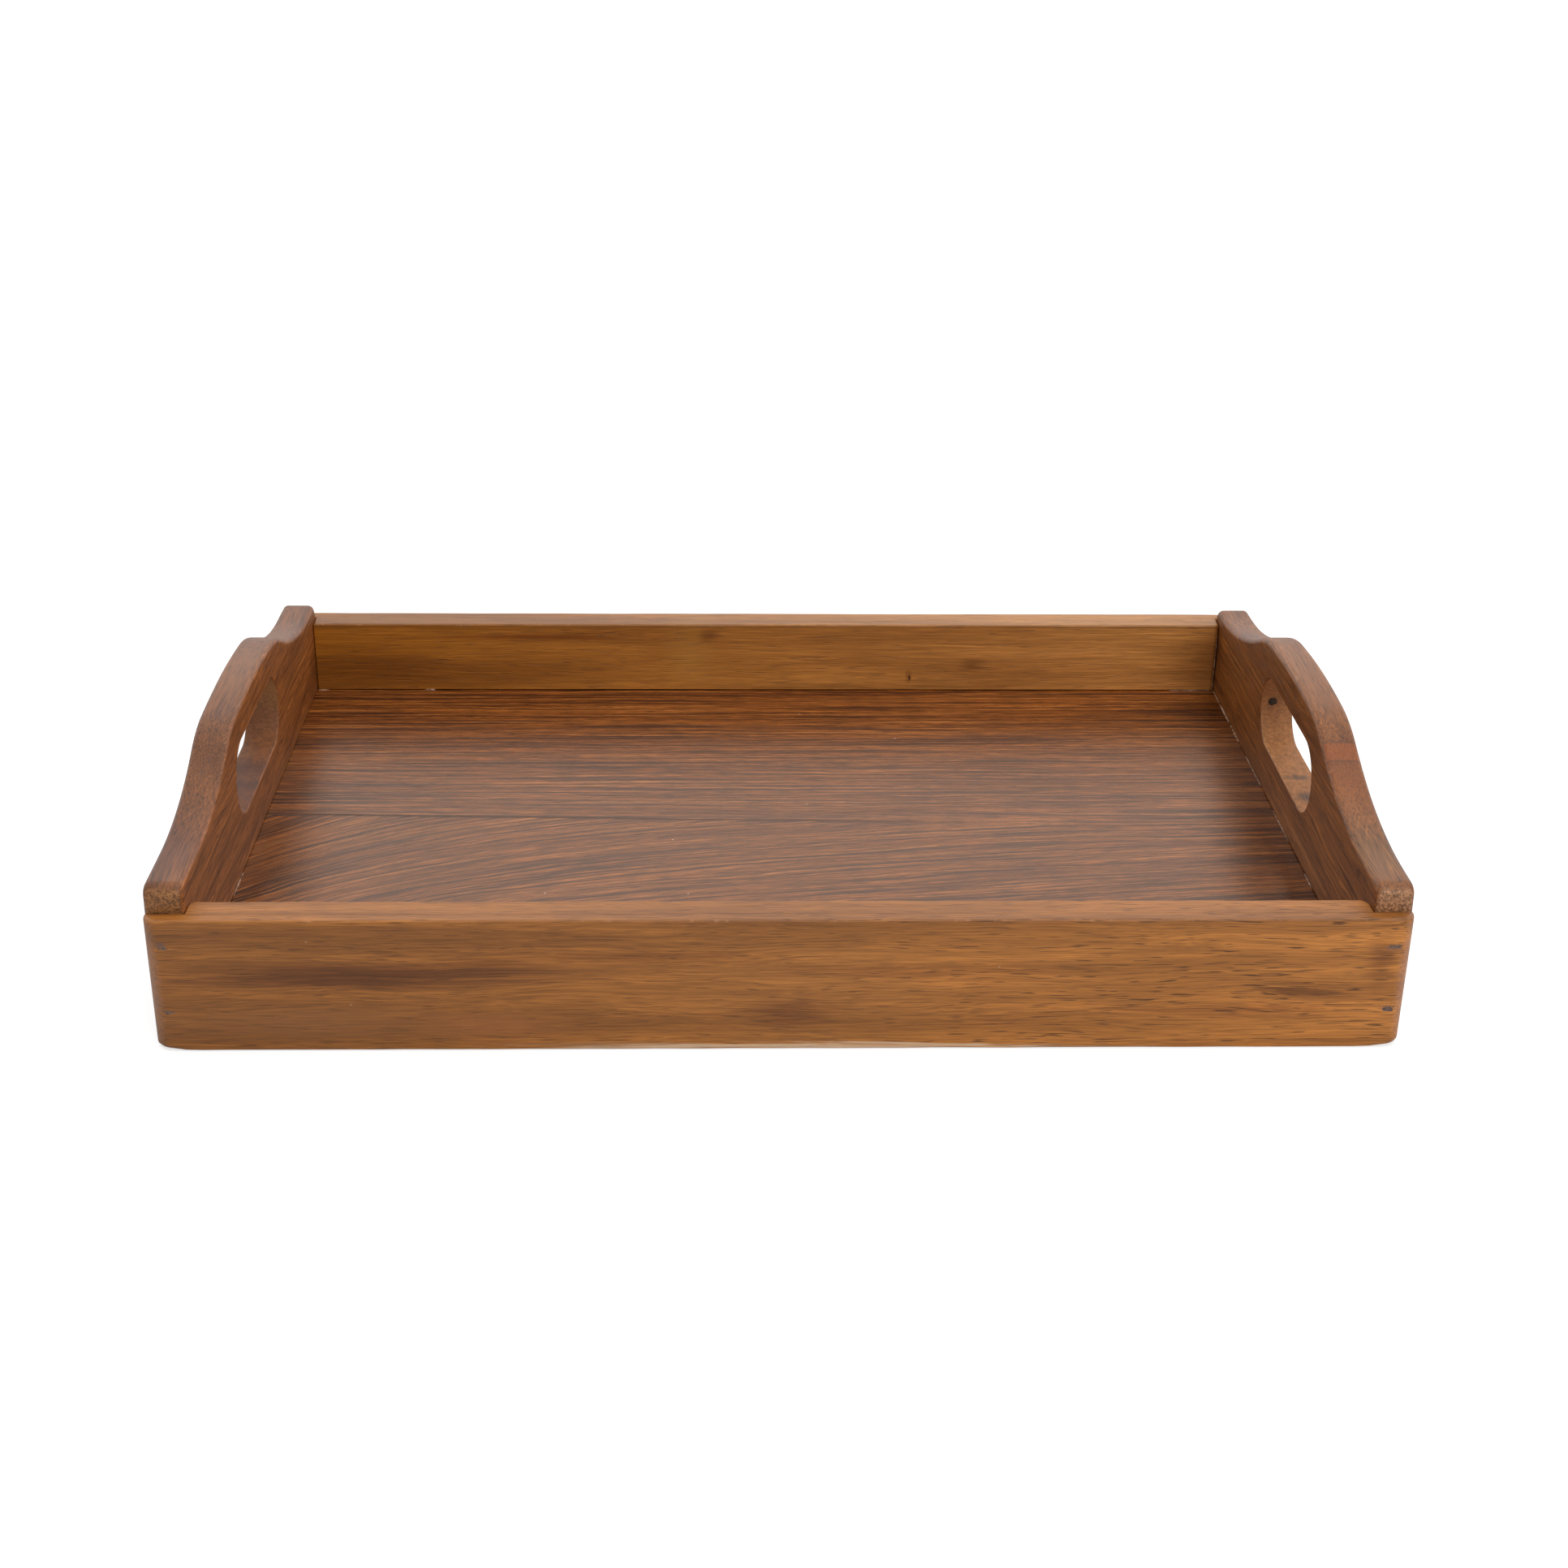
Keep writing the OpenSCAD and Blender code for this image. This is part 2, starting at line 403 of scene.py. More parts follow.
def skin(mesh_tool, rings, place, closed, arris):
    """Vertices for the rings and faces between them. Closed joins the last ring to the first."""
    loops = []
    for ring in rings:
        loop = []
        for flat, depth, edge in ring:
            vertex = mesh_tool.verts.new(place(flat, depth))
            vertex[arris] = edge
            loop.append(vertex)
        loops.append(loop)
    pairs = list(zip(loops, loops[1:]))
    if closed:
        pairs.append((loops[-1], loops[0]))
    for first, second in pairs:
        for k, (a, b) in enumerate(zip(first, second)):
            mesh_tool.faces.new((first[k - 1], a, b, second[k - 1]))
    if not closed:
        mesh_tool.faces.new(loops[0])
        mesh_tool.faces.new(loops[-1])


def finish_piece(name, mesh_tool, cutter=None):
    """A smooth object from a mesh in the making, with a groove cut out of it if there is a cutter."""
    bmesh.ops.recalc_face_normals(mesh_tool, faces=mesh_tool.faces)
    mesh = bpy.data.meshes.new(name)
    mesh_tool.to_mesh(mesh)
    mesh_tool.free()
    piece = bpy.data.objects.new(name, mesh)
    scene.collection.objects.link(piece)
    if cutter:
        cut_groove(piece, cutter)
    for face in piece.data.polygons:
        face.use_smooth = True
    piece.data.set_sharp_from_angle(angle=math.radians(38))
    even = piece.modifiers.new("even_shading", "WEIGHTED_NORMAL")
    even.keep_sharp = True
    return piece


def cut_groove(piece, corners):
    """Takes a box out of a piece and keeps the arris values of the points that stay."""
    low, high = corners
    mesh_tool = bmesh.new()
    bmesh.ops.create_cube(mesh_tool, size=1.0, matrix=Matrix.Translation((low + high) / 2)
                          @ Matrix.Diagonal((*(high - low), 1)))
    cutter_mesh = bpy.data.meshes.new("groove_cutter")
    mesh_tool.to_mesh(cutter_mesh)
    mesh_tool.free()
    cutter = bpy.data.objects.new("groove_cutter", cutter_mesh)
    scene.collection.objects.link(cutter)
    groove = piece.modifiers.new("groove", "BOOLEAN")
    groove.object = cutter
    groove.solver = "EXACT"
    bpy.context.view_layer.update()
    cut = bpy.data.meshes.new_from_object(piece.evaluated_get(bpy.context.evaluated_depsgraph_get()))
    piece.modifiers.clear()
    old = piece.data
    known = kdtree.KDTree(len(old.vertices))
    for k, vertex in enumerate(old.vertices):
        known.insert(vertex.co, k)
    known.balance()
    worth = [value.value for value in old.attributes["arris"].data]
    if "arris" in cut.attributes:
        cut.attributes.remove(cut.attributes["arris"])
    arris = cut.attributes.new("arris", "FLOAT", "POINT")
    for k, vertex in enumerate(cut.vertices):
        index, gap = known.find(vertex.co)[1:]
        arris.data[k].value = worth[index] if gap < 1e-6 else 0.0
    name = old.name
    piece.data = cut
    bpy.data.objects.remove(cutter)
    bpy.data.meshes.remove(cutter_mesh)
    bpy.data.meshes.remove(old)
    cut.name = name


def uneven(size, amount, seed, length):
    """A radius that drifts along the piece, as hand sanding leaves it."""
    def radius(point):
        spot = Vector((point.x / length, point.y / length, seed))
        return size * (1 + amount * noise.noise(spot))
    return radius


print("slab builder ready")

# %% [markdown]
# ## The rails
# Each rail is a straight stick. At its ends the inner half is cut away, so that a thin cheek laps over
# the end of the handle board, and the corner beside the board is rounded, which leaves the dark
# little valley seen at each joint. The outer upright corners are rounded for the hands.

# %% Draw and build the rails
CORNER_ROUND = 5 * MM
SHOULDER_GAP = 0.15 * MM
GROOVE_DEPTH = 5 * MM
GROOVE_SPARE = 0.5 * MM
RAIL_ARRIS = 0.9 * MM
LOWER_CORNER = 2.6 * MM
UPPER_CORNER = 0.8 * MM
CORNER_REACH = 14 * MM
CORNER_RISE = 11 * MM
OUTLINE_STEP = 6 * MM
ARC_STEPS = 8

rail_low, rail_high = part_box("back_rail")
board_low, board_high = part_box("right_handle_board")
floor_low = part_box("floor_backing")[0]
floor_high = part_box("floor_face")[1]
SHOULDER = board_low.x - SHOULDER_GAP
CHEEK_IN = board_high.y
GROOVE_LOW = floor_low.z
GROOVE_HIGH = floor_high.z + GROOVE_SPARE


def arc(middle, radius, start, end, steps):
    """Points round a circle. Angles are in degrees, anticlockwise from the first axis."""
    turns = [math.radians(start + (end - start) * k / steps) for k in range(steps + 1)]
    return [Vector(middle) + radius * Vector((math.cos(t), math.sin(t))) for t in turns]


def mirrored(half):
    """The other half of an outline, mirrored in the first axis, in the order that closes it."""
    return [Vector((-p.x, p.y)) for p in reversed(half)]


def rail_outline(left_shoulder, right_shoulder):
    """A rail seen from above, at the back of the tray, anticlockwise from its inside face."""
    halves = []
    for shoulder in (right_shoulder, left_shoulder):
        halves.append(
            arc((SHOULDER - shoulder, rail_low.y + shoulder), shoulder, -90, 0, ARC_STEPS)
            + [Vector((SHOULDER, CHEEK_IN)), Vector((rail_high.x, CHEEK_IN))]
            + arc((rail_high.x - CORNER_ROUND, rail_high.y - CORNER_ROUND), CORNER_ROUND, 0, 90, ARC_STEPS))
    return split_long(halves[0] + mirrored(halves[1]), OUTLINE_STEP)


def rail_radius(size, corner, drift, seed):
    """The rounding of a rail's edge, which grows by a corner's worth towards the outer corners."""
    sanding = uneven(size, drift, seed, 18 * MM)

    def radius(point):
        along = ramp(abs(point.x), rail_high.x - CORNER_REACH, CORNER_RISE)
        outer = ramp(point.y, CHEEK_IN + MM, 2 * MM)
        return sanding(point) + corner * outer * along * along * (3 - 2 * along)
    return radius


def build_rail(name, side, shoulders, seed):
    """A rail at the back (side 1) or the front (side -1)."""
    mesh_tool = bmesh.new()
    arris = mesh_tool.verts.layers.float.new("arris")
    rings = slab_rings(rail_outline(*shoulders), rail_low.z, rail_high.z,
                       rail_radius(RAIL_ARRIS, LOWER_CORNER, 0.5, seed),
                       rail_radius(RAIL_ARRIS, UPPER_CORNER, 0.4, seed + 5))
    skin(mesh_tool, rings, lambda flat, depth: Vector((flat.x, side * flat.y, depth)), False, arris)
    ends = sorted((side * (rail_low.y - GROOVE_DEPTH), side * (rail_low.y + GROOVE_DEPTH)))
    return finish_piece(name, mesh_tool, (Vector((-board_high.x - MM, ends[0], GROOVE_LOW)),
                                          Vector((board_high.x + MM, ends[1], GROOVE_HIGH))))


front_rail = build_rail("front_rail_eased", -1, (3.0 * MM, 4.2 * MM), 3.1)
back_rail = build_rail("back_rail_eased", 1, (0.6 * MM, 2.2 * MM), 8.4)
for piece, node, slot in ((front_rail, "front_rail", "front_rail_wood"),
                          (back_rail, "back_rail", "back_rail_wood")):
    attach(piece, "root")
    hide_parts(node)
    print(piece.name, len(piece.data.polygons), "faces")

# %% [markdown]
# ## The handle boards
# A handle board is highest over its hand hole and sweeps down to a low flat end. The top edge is a run
# of arcs that meet without a corner. The two boards are drawn a little differently: each has heights
# and arcs of its own, a lean that lifts its front end, and a shift towards the back. The outer outline
# and the hand hole are matched point for point by the direction in which they lie from the middle of
# the hole, so the two faces are plain strips and the whole board is one closed skin.

# %% Draw and build the handle boards
END_ROUND = 4.2 * MM
HOLE_LENGTH = 90 * MM
HOLE_HEIGHT = 30 * MM
HOLE_RADIUS = HOLE_HEIGHT / 2
HOLE_REACH = HOLE_LENGTH / 2 - HOLE_RADIUS
HOLE_MIDDLE = 53.5 * MM
HOLE_EASE = 0.8 * MM
# Rounding along the top edge and at the ends, on a board's inner and outer face
INNER_EASE = (2.6 * MM, 1.2 * MM)
OUTER_EASE = (2.2 * MM, 1.6 * MM)
# Heights from which the lean and the rounder edge of the top come in, and over how far
LEAN_START, LEAN_RISE = 40 * MM, 10 * MM
EASE_START, EASE_RISE = 50 * MM, 8 * MM
END_FLAT = 19 * MM
BOARD_STEP = 3.6 * MM
# Heights, arcs, lean and shift of each board's top edge, in millimetres, and one angle in degrees
LEFT_SHAPE = {"middle": 83.0, "end": 61.6, "crown": 450, "crown_angle": 4.85, "brow": 60.5,
              "sweep": 141, "lean": 1.8, "shift": 3.6}
RIGHT_SHAPE = {"middle": 84.5, "end": 60.5, "crown": 418, "crown_angle": 4.58, "brow": 69.5,
               "sweep": 176, "lean": 2.4, "shift": 4.7}


def board_outline(shape):
    """A handle board seen from the side, as its length and its height, anticlockwise."""
    crown_angle = shape["crown_angle"]
    crown, brow, sweep = (shape[name] * MM for name in ("crown", "brow", "sweep"))
    end = shape["end"] * MM
    crown_middle = Vector((0, shape["middle"] * MM - crown))
    brow_middle = crown_middle + (crown - brow) * Vector((
        math.sin(math.radians(crown_angle)), math.cos(math.radians(crown_angle))))
    sweep_angle = math.degrees(math.acos((end + sweep - brow_middle.y) / (sweep + brow)))
    sweep_middle = Vector((
        brow_middle.x + (sweep + brow) * math.sin(math.radians(sweep_angle)), end + sweep))
    half = (
        [Vector((board_high.y, 0))]
        + arc((board_high.y - END_ROUND, end - END_ROUND), END_ROUND, 0, 90, ARC_STEPS)
        + arc(sweep_middle, sweep, 270, 270 - sweep_angle, 18)
        + arc(brow_middle, brow, 90 - sweep_angle, 90 - crown_angle, 10)[1:]
        + arc(crown_middle, crown, 90 - crown_angle, 90, 10)[1:])
    outline = split_long(half + mirrored(half[:-1]), BOARD_STEP)
    shaped = []
    for point in outline:
        top = ramp(point.y, LEAN_START, LEAN_RISE)
        inboard = ramp(board_high.y - abs(point.x), 0, END_FLAT)
        lean = -shape["lean"] * MM * point.x / board_high.y
        shaped.append(point + top * Vector((shape["shift"] * MM * inboard, lean)))
    return shaped


def on_hole(point):
    """The point of the hand hole's edge that lies in the same direction as an outline point."""
    middle = Vector((0, HOLE_MIDDLE))
    way = (point - middle).normalized()
    flat = abs(way.y) and HOLE_RADIUS / abs(way.y)
    if flat and abs(way.x) * flat <= HOLE_REACH:
        return middle + way * flat
    along = abs(way.x) * HOLE_REACH
    return middle + way * (along + math.sqrt(along ** 2 - HOLE_REACH ** 2 + HOLE_RADIUS ** 2))


def board_radius(top, end, seed):
    """The rounding of a board's edge: generous along the top, small at the ends and the bottom."""
    drift = uneven(1.0, 0.16, seed, 26 * MM)

    def radius(point):
        rise = ramp(point.y, EASE_START, EASE_RISE)
        return drift(point) * (end + (top - end) * rise)
    return radius


def build_board(name, side, shape, seed):
    """A handle board at the right (side 1) or the left (side -1)."""
    mesh_tool = bmesh.new()
    arris = mesh_tool.verts.layers.float.new("arris")
    outline = board_outline(shape)
    hole_outline = [on_hole(point) for point in outline]
    outer = slab_rings(outline, board_low.x, board_high.x,
                       board_radius(*INNER_EASE, seed), board_radius(*OUTER_EASE, seed + 4))
    hole_ease = uneven(-HOLE_EASE, 0.35, seed + 9, 12 * MM)
    inner = slab_rings(hole_outline, board_low.x, board_high.x, hole_ease, hole_ease)[::-1]
    skin(mesh_tool, outer + inner,
         lambda flat, depth: Vector((side * depth, flat.x, flat.y)), True, arris)
    ends = sorted((side * (board_low.x - GROOVE_DEPTH), side * (board_low.x + GROOVE_DEPTH)))
    return finish_piece(name, mesh_tool, (Vector((ends[0], board_low.y - MM, GROOVE_LOW)),
                                          Vector((ends[1], board_high.y + MM, GROOVE_HIGH))))


left_board = build_board("left_handle_board_rounded", -1, LEFT_SHAPE, 2.7)
right_board = build_board("right_handle_board_rounded", 1, RIGHT_SHAPE, 6.2)
for piece, node, slot in ((left_board, "left_handle_board", "left_board_wood"),
                          (right_board, "right_handle_board", "right_board_wood")):
    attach(piece, "root")
    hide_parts(node)
    print(piece.name, len(piece.data.polygons), "faces")

# %% [markdown]
# ## Filler over the nails
# Each rail is nailed to the boards' ends, and the nail heads are buried under wood filler. The filler
# was wiped on with a fingertip, so each plug has an uneven outline and sits barely above the wood. A
# plug is a short stack of rings, like a tiny slab.

# %% Build the filler plugs
PLUG_POINTS = 18
PLUG_PROUD = 0.05 * MM
PLUG_DEEP = 0.9 * MM


def build_plugs(node, side, wide, tall, seed):
    """Two plugs in place of a filler node, on the back (side 1) or the front (side -1)."""
    low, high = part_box(node)
    middle_x = (low.x + high.x) / 2
    head = (high.x - low.x) / 2
    face = side * rail_high.y
    mesh_tool = bmesh.new()
    arris = mesh_tool.verts.layers.float.new("arris")
    for middle_z in (low.z + head, high.z - head):
        rings = []
        for reach, depth in ((0.9, -PLUG_DEEP), (1.0, 0.0), (0.8, 0.7 * PLUG_PROUD), (0.4, PLUG_PROUD)):
            ring = []
            for k in range(PLUG_POINTS):
                turn = 2 * math.pi * k / PLUG_POINTS
                spot = Vector((1.6 * math.cos(turn), 1.6 * math.sin(turn), seed + middle_z * 900))
                size = reach * (1 + 0.8 * noise.noise(spot))
                ring.append((Vector((middle_x + wide * size * math.cos(turn),
                                     middle_z + tall * size * math.sin(turn))), depth, 0.0))
            rings.append(ring)
        skin(mesh_tool, rings,
             lambda flat, depth: Vector((flat.x, face + side * depth, flat.y)), False, arris)
    return finish_piece(node + "_plugs", mesh_tool)


plugs = []
# Node, side, half width, half height and seed of each pair of plugs
for node, side, wide, tall, seed in (
        ("front_left_filler", -1, 1.6 * MM, 0.7 * MM, 1.0),
        ("front_right_filler", -1, 2.2 * MM, 0.8 * MM, 4.0),
        ("back_left_filler", 1, 1.8 * MM, 0.9 * MM, 7.0),
        ("back_right_filler", 1, 2.0 * MM, 0.9 * MM, 9.0)):
    piece = build_plugs(node, side, wide, tall, seed)
    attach(piece, "root")
    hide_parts(node)
    plugs.append(piece)
print(len(plugs), "pairs of plugs")

# %% [markdown]
# ## Glue along the joints
# Glue has squeezed out and dried here and there along the floor's joints and up one back corner. Each
# bead is a thin, lumpy tube that is half sunk into its corner, and they come and go along the joint.

# %% Build the glue beads
BEAD_POINTS = 8
BEAD_STEP = 1.2 * MM


def build_bead(mesh_tool, arris, start, end, size, seed):
    """A lumpy bead from one point to another."""
    start, end = Vector(start) * MM, Vector(end) * MM
    along = (end - start).normalized()
    first = along.orthogonal().normalized()
    second = along.cross(first)
    steps = max(4, math.ceil((end - start).length / BEAD_STEP))
    rings = []
    for k in range(steps + 1):
        taper = math.sin(math.pi * (0.04 + 0.92 * k / steps)) ** 0.35
        lump = 1 + 0.7 * noise.noise(Vector((k * 0.37, seed, 0.0)))
        middle = start.lerp(end, k / steps)
        ring = []
        for j in range(BEAD_POINTS):
            turn = 2 * math.pi * j / BEAD_POINTS
            ring.append((middle + size * MM * taper * lump * (
                math.cos(turn) * first + math.sin(turn) * second), 0.0, 0.0))
        rings.append(ring)
    skin(mesh_tool, rings, lambda point, depth: point, False, arris)


# Start, end and radius of each bead, in millimetres
BEADS = {
    "right_floor_glue": (
        ((210.9, 133.5, 20.0), (210.9, 98, 20.0), 0.45), ((210.9, 94, 20.0), (210.9, 76, 20.0), 0.40),
        ((210.9, 60, 20.0), (210.9, 30, 20.0), 0.20), ((210.9, 6, 20.0), (210.9, -24, 20.0), 0.22),
        ((210.9, -52, 20.0), (210.9, -64, 20.0), 0.28)),
    "back_corner_glue": (
        ((210.3, 135.1, 20.2), (210.3, 135.1, 48.0), 0.24), ((209.0, 134.9, 20.0), (190, 134.9, 20.0), 0.22)),
    "left_floor_glue": (
        ((-210.9, -50, 20.0), (-210.9, -70, 20.0), 0.24), ((-210.6, 134.9, 20.0), (-205, 134.9, 20.0), 0.30),
        ((-161, 134.9, 20.1), (-156, 134.9, 20.1), 0.40)),
}
beads = []
for name, runs in BEADS.items():
    mesh_tool = bmesh.new()
    arris = mesh_tool.verts.layers.float.new("arris")
    for k, (start, end, size) in enumerate(runs):
        build_bead(mesh_tool, arris, start, end, size, k * 3.7)
    piece = finish_piece(name, mesh_tool)
    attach(piece, "root")
    beads.append(piece)
    print(name, len(runs), "beads")

# %% [markdown]
# ## The front rail's finish
# The front rail is a warm golden brown whose face turns more orange to the right; its top keeps one
# colour all along as painted shade. A smoky band wanders along its left half, and short dark pores show
# at the right. Its rounded upright corners carry a painted highlight.

# %% Finish the front rail
WOOD_ROUGHNESS = 0.42
PORE_RELIEF = 0.12 * MM
PORE_BUMP = 0.6


def lay_patches(wiring, colour, place, grain, patches):
    """Lays each patch of shade over a colour. Places are in millimetres."""
    for middle, half_size, fray, soft, amount, shade, mode in patches:
        mask = wiring.group(PATCH, Vector=place, Middle=[c * MM for c in middle],
                            Half_Size=[c * MM for c in half_size], Grain=grain["Streaks"],
                            Fray=fray, Soft=soft)["Mask"]
        colour = wiring.blend(wiring.maths("MULTIPLY", mask, amount), colour, linear(shade), mode)
    return colour


def fray_edges(wiring, colour, place, amount, strength, pale):
    """Lets the paler wood show along the rubbed edges."""
    arris = wiring.node("ShaderNodeAttribute", attribute_name="arris").outputs["Fac"]
    wear = wiring.group(RUBBED, Vector=place, Arris=arris, Amount=amount)["Mask"]
    return wiring.blend(wiring.maths("MULTIPLY", wear, strength), colour, linear(pale))


# Middle, half size, fray, softness, amount, shade and blend of each patch
FRONT_PATCHES_AND_PAINTED_HIGHLIGHTS = (
    ((-155, -150, 31), (88, 60, 9), 0.6, 0.9, 0.85, "b4a290", "MULTIPLY"),
    ((-150, -150, 29), (80, 60, 5), 0.8, 0.95, 0.25, "a8927e", "MULTIPLY"),
    ((-104, -150, 34), (34, 60, 8), 1.8, 0.95, 0.45, "b09880", "MULTIPLY"),
    ((-42, -150, 38.5), (62, 60, 3.5), 1.2, 0.95, 0.5, "b8a088", "MULTIPLY"),
    ((-170, -150, 12), (70, 60, 12), 1.4, 0.95, 0.25, "a87044", "MIX"),
    ((-105, -150, 10), (36, 60, 9), 1.2, 0.95, 0.45, "a86636", "MIX"),
    ((4, -150, 15), (22, 60, 9), 2.6, 0.95, 0.5, "a8886c", "MULTIPLY"),
    ((52, -150, 32), (66, 60, 5), 1.8, 0.95, 0.35, "b49878", "MULTIPLY"),
    ((5, -150, 24), (70, 60, 40), 0.5, 0.95, 0.5, "e2e7ff", "MULTIPLY"),
    ((165, -150, 16), (70, 60, 5), 1.8, 0.95, 0.45, "b09474", "MULTIPLY"),
    ((188, -150, 24), (26, 60, 5), 3.2, 0.95, 0.6, "8c7862", "MULTIPLY"),
    ((214, -150, 36), (8, 60, 16), 2.0, 0.95, 0.6, "9c8870", "MULTIPLY"),
    # Painted highlight: the next two make the rounded upright corners at the ends paler
    ((-224, -150, 28), (5, 60, 40), 0.8, 0.95, 0.30, "a08a80", "MIX"),
    ((225, -149, 28), (6, 60, 40), 0.8, 0.95, 0.45, "b0887a", "MIX"),
    ((10, -150, 0.6), (105, 4.5, 2.9), 2.6, 0.7, 0.65, "e4c8a8", "MIX"),
    ((-219, -150, 43.6), (2.6, 60, 1.4), 1.0, 0.9, 0.55, "51494c", "MIX"),
    ((-220, -150, 16.2), (3.2, 60, 1.4), 1.0, 0.9, 0.45, "514844", "MIX"),
    ((217.8, -150, 41.3), (5, 60, 1.6), 1.2, 0.9, 0.6, "5c4c4e", "MIX"),
    ((218.6, -150, 16.4), (4.2, 60, 1.7), 1.2, 0.9, 0.7, "544a4c", "MIX"),
)
material, wiring, shader, place = start_material("front_rail_timber", WOOD_ROUGHNESS)
across = wiring.split(place)
# Painted shade: on the top the colour stays a quarter of the way towards the right end's, all along, which
# evens out the stronger light at the right
below_painted_top = wiring.remap(across[2], rail_high.z - 0.4 * MM, rail_high.z - 1.6 * MM)
to_right = wiring.maths("MULTIPLY_ADD", wiring.maths("SUBTRACT", wiring.remap(
    across[0], -0.23, 0.24), 0.25), below_painted_top, 0.25)
grain = wiring.group(TIMBER, Vector=place, Seed=1.3, Band_Width=9.0, Wander=3.0,
                     Light=wiring.blend(to_right, (0.290, 0.102, 0.017, 1), (0.540, 0.202, 0.038, 1)),
                     Dark=wiring.blend(to_right, (0.205, 0.071, 0.012, 1), (0.350, 0.126, 0.022, 1)),
                     Streak_Depth=0.2, Fibre_Depth=0.34,
                     Pore_Depth=wiring.remap(across[0], -0.05, 0.2, 0.4, 0.75))
colour = lay_patches(wiring, grain["Colour"], place, grain, FRONT_PATCHES_AND_PAINTED_HIGHLIGHTS)
bottom_wear = wiring.group(PATCH, Vector=place, Middle=[5 * MM, -rail_low.y, 0],
                           Half_Size=[100 * MM, 60 * MM, 5 * MM], Fray=0.0, Soft=0.6)["Mask"]
colour = fray_edges(wiring, colour, place, wiring.maths("MULTIPLY_ADD", bottom_wear, 0.4, 0.35),
                    wiring.maths("MULTIPLY_ADD", bottom_wear, 0.3, 0.35), "c08a60")
specks = wiring.group(DUST, Vector=place, Share=0.02)["Mask"]
colour = wiring.blend(wiring.maths("MULTIPLY", specks, 0.4), colour, linear("c8b090"))
wiring.feed(shader.inputs["Base Color"], colour)
add_bump(wiring, shader, grain["Height"], PORE_RELIEF, PORE_BUMP)
front_rail.data.materials.append(material)
print("finished", front_rail.name)

# %% [markdown]
# ## The back rail's finish
# The back rail is more olive, with a few soft patches across the grain, and one small black knot near
# the floor. Its top, and its right end beside the board, are darkened as painted shade.

# %% Finish the back rail
BACK_PATCHES_AND_PAINTED_SHADE = (
    ((-37, 135, 40), (16, 60, 24), 0.8, 0.95, 0.30, "b8863c", "MIX"),
    ((-28, 135, 47), (7, 60, 5), 2.0, 0.95, 0.6, "a08470", "MULTIPLY"),
    ((96, 135, 33), (9, 60, 5), 2.2, 0.95, 0.6, "a09880", "MULTIPLY"),
    ((-180, 135, 34), (44, 60, 18), 1.2, 0.95, 0.4, "b0a080", "MULTIPLY"),
    ((-105, 135, 47), (60, 60, 3), 1.8, 0.95, 0.5, "c09070", "MULTIPLY"),
    # Painted shade: darker towards the right end beside the board
    ((212, 135, 34), (34, 60, 40), 0.5, 0.95, 0.5, "a08868", "MULTIPLY"),
    # Painted shade: the top is darkened all along
    ((0, 142, 54), (900, 60, 3), 0.0, 0.3, 0.35, "909090", "MULTIPLY"),
    ((66, 135, 27), (2.4, 60, 5), 0.8, 0.95, 0.6, "a08868", "MULTIPLY"),
    ((66.5, 135, 26.5), (0.9, 60, 2.0), 0.6, 0.8, 0.95, "2c2018", "MULTIPLY"),
)
material, wiring, shader, place = start_material("back_rail_timber", WOOD_ROUGHNESS)
across = wiring.split(place)
to_right = wiring.remap(across[0], -0.23, 0.24)
grain = wiring.group(TIMBER, Vector=place, Seed=4.1, Band_Width=12.0, Wander=2.0,
                     Light=wiring.blend(to_right, (0.375, 0.130, 0.010, 1), (0.580, 0.250, 0.062, 1)),
                     Dark=wiring.blend(to_right, (0.250, 0.082, 0.007, 1), (0.390, 0.158, 0.036, 1)),
                     Streak_Depth=0.2, Fibre_Depth=0.3, Pore_Depth=0.35)
colour = lay_patches(wiring, grain["Colour"], place, grain, BACK_PATCHES_AND_PAINTED_SHADE)
colour = fray_edges(wiring, colour, place, 0.35, 0.35, "c48f60")
wiring.feed(shader.inputs["Base Color"], colour)
add_bump(wiring, shader, grain["Height"], PORE_RELIEF, PORE_BUMP)
back_rail.data.materials.append(material)
print("finished", back_rail.name)

# %% [markdown]
# ## The handle boards' finish
# The boards are redder and darker than the rails, and their grain runs from front to back. The timber
# group runs its fibres along X, so the place is turned by swapping two axes before it goes in. A top
# edge has painted shade on its front slope and a painted highlight on its hump, the ends show end
# grain, and the face sawn for the hand hole is paler, with a black knot in the right one. Masks keep
# each of these to its own surface: the top and the ends by the way the surface faces, and the hole by
# the distance from its middle. The inner face is lighter on the left board and a little darker on the
# right, as painted light.

# %% Finish the handle boards
LEFT_PATCHES = (
    ((-211, -30, 26), (3, 80, 2.4), 1.8, 0.95, 0.5, "94745c", "MULTIPLY"),
    ((-211, -75, 44), (3, 34, 1.6), 1.8, 0.95, 0.5, "94745c", "MULTIPLY"),
    ((-218.6, -66, 68.5), (1.5, 4.5, 8), 1.0, 0.8, 0.6, "54382c", "MIX"),
    ((-217, -60, 70.5), (1.5, 4.5, 8), 1.0, 0.8, 0.6, "54382c", "MIX"),
    ((-215.2, -54, 72), (1.5, 4.5, 8), 1.0, 0.8, 0.5, "54382c", "MIX"),
    ((-217, -144, 57), (3.5, 4, 4), 1.4, 0.9, 0.7, "5a4a40", "MULTIPLY"),
    ((-223, -144, 55), (4, 4, 5), 1.2, 0.9, 0.45, "7c6a48", "MIX"),
)
